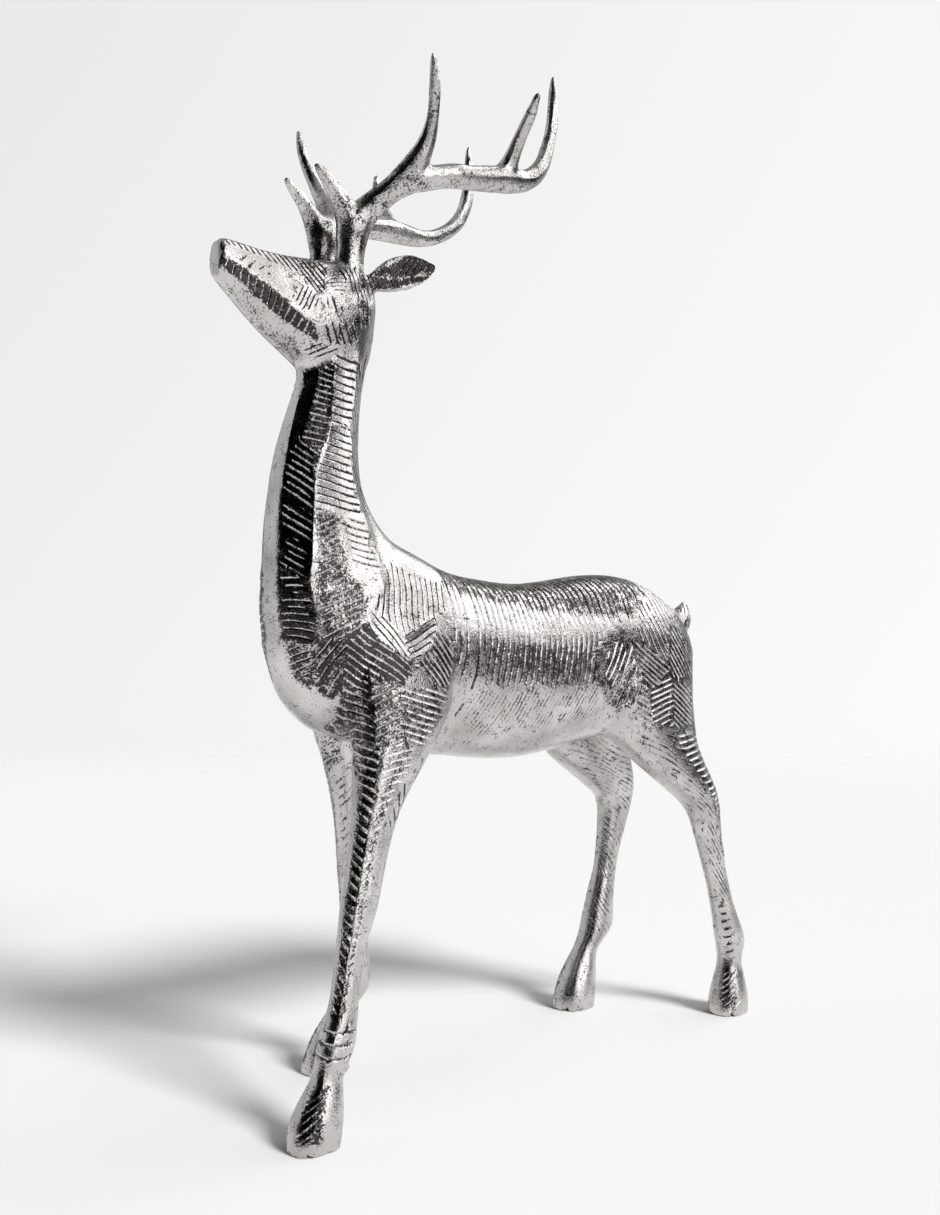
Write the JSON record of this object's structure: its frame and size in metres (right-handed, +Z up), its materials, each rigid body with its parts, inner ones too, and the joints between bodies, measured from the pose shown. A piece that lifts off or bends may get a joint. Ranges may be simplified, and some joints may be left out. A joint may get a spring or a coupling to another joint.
{
  "type": "reindeer figurine",
  "caption": "Standing reindeer cast in metal, head raised and turned forward, with branched antlers, a short tail and four flat hoof soles that it stands on.",
  "frame": {"origin": "middle of the figure's bounding box, on the floor under its hooves", "axes": "-Y is the way the animal faces, +X is its left side, +Z is up"},
  "size_m": [0.1244, 0.335, 0.5025],
  "materials": {
    "cast_aluminium": "bare sand-cast skin with chiselled strokes, satin on the planes and darker in the cuts"
  },
  "bodies": {
    "root": {"reindeer": "cast_aluminium"}
  },
  "joints": []
}
